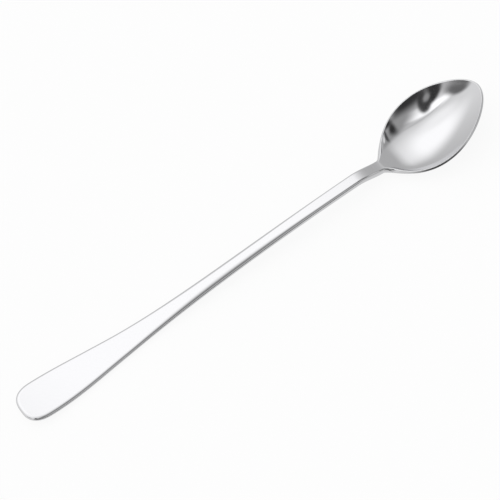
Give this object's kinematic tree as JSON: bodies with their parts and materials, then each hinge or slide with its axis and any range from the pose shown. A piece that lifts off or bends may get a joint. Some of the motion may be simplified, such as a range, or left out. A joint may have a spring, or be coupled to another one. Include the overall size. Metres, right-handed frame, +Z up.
{
  "type": "iced tea spoon",
  "caption": "Long-handled iced tea spoon in polished steel: oval bowl tilted up, waisted neck, slim bowed stem and flared handle with a blunt rounded end.",
  "frame": {"origin": "on the table under the middle of the spoon's length and width, with the spoon lying as on a table, bowl open upwards", "axes": "+X from the handle's end to the bowl's tip, +Y across, +Z up from the table"},
  "size_m": [0.1952, 0.03, 0.0134],
  "materials": {
    "polished_steel": "mirror-polished stainless steel"
  },
  "bodies": {
    "root": {"bowl": "polished_steel", "neck": "polished_steel", "stem": "polished_steel", "handle": "polished_steel"}
  },
  "joints": []
}
